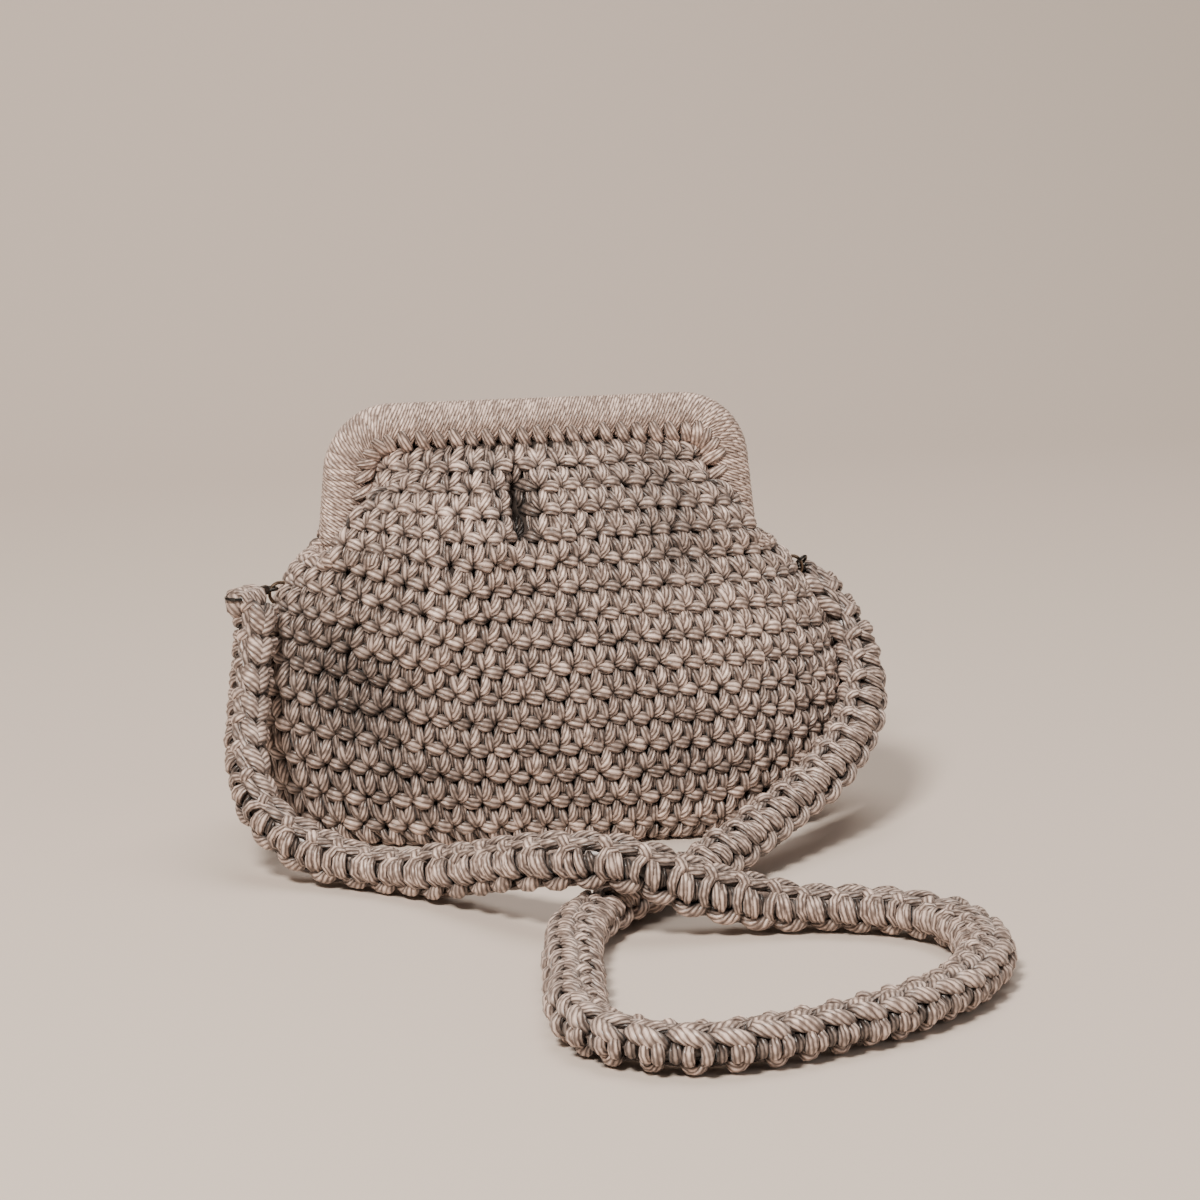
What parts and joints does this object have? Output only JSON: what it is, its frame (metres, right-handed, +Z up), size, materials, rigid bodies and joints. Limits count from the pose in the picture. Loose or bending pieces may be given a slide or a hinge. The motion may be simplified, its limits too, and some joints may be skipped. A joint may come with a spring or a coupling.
{
  "type": "crochet bag",
  "caption": "Soft crocheted clutch bag, a puffy hollow pouch gathered under a cord-wrapped U-shaped frame, with a chunky crocheted shoulder strap clipped to its sides.",
  "frame": {"origin": "centre of the underside of the bag's own box, on the surface it stands on, with the strap and its clips left out", "axes": "+X to the right as seen from the front, +Y from the front to the back, +Z up"},
  "size_m": [0.2747, 0.377, 0.1713],
  "materials": {
    "pouch_cord": "satin twisted cord, crocheted",
    "frame_cord": "satin twisted cord, wrapped",
    "ring_metal": "dark bronze",
    "clip_metal": "black nickel",
    "strap_cord": "satin twisted cord, crocheted"
  },
  "bodies": {
    "root": {"pouch": "pouch_cord", "frame_front": "frame_cord", "frame_back": "frame_cord", "ring_left": "ring_metal", "ring_right": "ring_metal", "clip_left": "clip_metal", "clip_right": "clip_metal", "strap": "strap_cord"}
  },
  "joints": []
}
